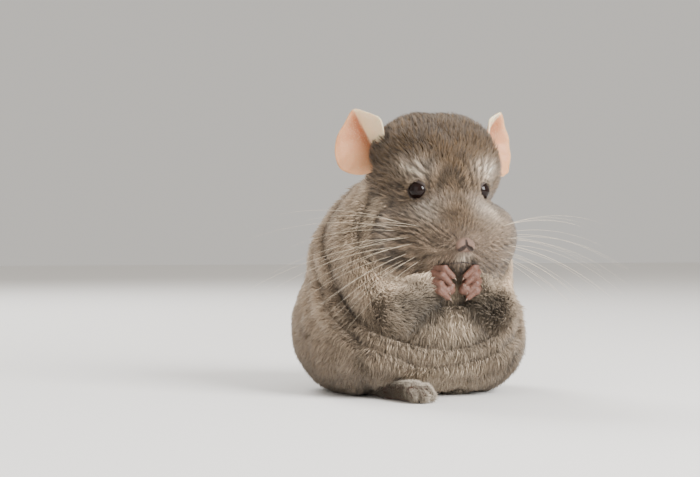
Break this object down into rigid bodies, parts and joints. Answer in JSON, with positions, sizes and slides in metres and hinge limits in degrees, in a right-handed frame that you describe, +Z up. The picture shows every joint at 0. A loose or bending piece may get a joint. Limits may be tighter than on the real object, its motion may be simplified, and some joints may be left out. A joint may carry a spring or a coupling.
{
  "type": "chinchilla model",
  "caption": "Still, life-size model of a chinchilla sitting up on its haunches, hands held together under its mouth and bushy tail lying behind it.",
  "frame": {"origin": "on the floor, under the middle of the flat seat of the body", "axes": "+Z up; the animal faces -Y, its tail lies towards +Y, and +X is its left side"},
  "size_m": [0.2211, 0.2321, 0.1515],
  "materials": {
    "coat": "dense plush fur, beige with grey-brown tips, matt",
    "tail_coat": "long coarse hair, matt",
    "bare_skin": "thin bare skin with fine creases, satin",
    "eye": "wet and glossy, very dark ruby brown"
  },
  "bodies": {
    "root": {"torso": "coat", "neck": "coat", "foreleg_right": "coat", "hand_right": "bare_skin", "haunch_right": "coat", "foot_right": "bare_skin", "foreleg_left": "coat", "hand_left": "bare_skin", "haunch_left": "coat", "foot_left": "bare_skin", "tail_root": "coat", "tail_brush": "tail_coat", "head": "coat", "eye_right": "eye", "ear_right": "bare_skin", "eye_left": "eye", "ear_left": "bare_skin"}
  },
  "joints": []
}
